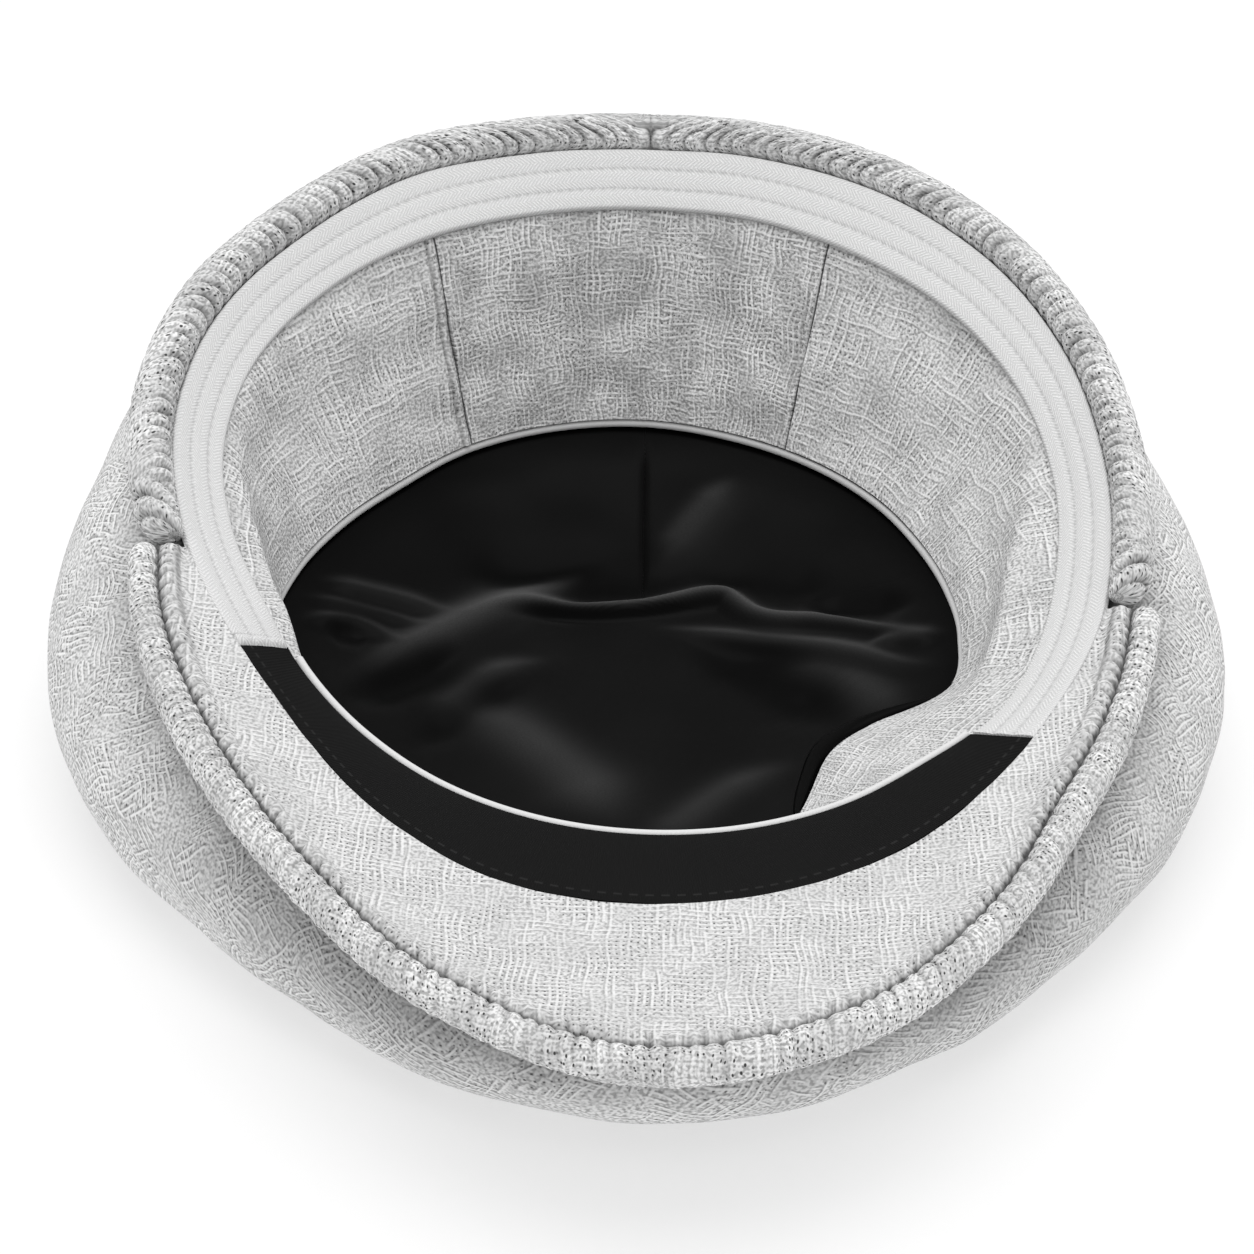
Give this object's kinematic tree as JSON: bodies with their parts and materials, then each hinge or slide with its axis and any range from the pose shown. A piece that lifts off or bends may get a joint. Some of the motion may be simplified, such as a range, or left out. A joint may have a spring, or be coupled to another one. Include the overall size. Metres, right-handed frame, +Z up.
{
  "type": "flat cap with earflaps",
  "caption": "Flat cap with a peak, a gathered roll round the rim, fold-in earflaps and neck flap and a satin lining, turned over on its crown.",
  "frame": {"origin": "on the floor under the middle of the cap's bounding box, the cap lying on its crown", "axes": "+Z up out of the cap's opening, -Y towards the peak, +X to the right with the peak towards the viewer"},
  "size_m": [0.2406, 0.2658, 0.0866],
  "materials": {
    "tweed": "pale grey slubby tweed with pinholes, matt",
    "tape": "pale grey herringbone tape, ribbed and stitched, matt",
    "black_band": "fine ribbed black sweatband, matt",
    "piping": "white corded piping, satin sheen",
    "satin": "black lining satin, soft gloss"
  },
  "bodies": {
    "root": {"crown_side": "tweed", "crown_top": "tweed", "rim_roll_right": "tweed", "rim_roll_left": "tweed", "peak": "tweed", "rim_tape": "tape", "sweatband_front": "black_band", "sweatband_piping": "piping", "ear_flap_right": "tweed", "neck_flap": "tweed", "ear_flap_left": "tweed", "flap_binding": "tape", "ear_flap_facing": "satin", "lining_front": "satin", "lining_back_left": "satin", "lining_back_right": "satin"}
  },
  "joints": []
}
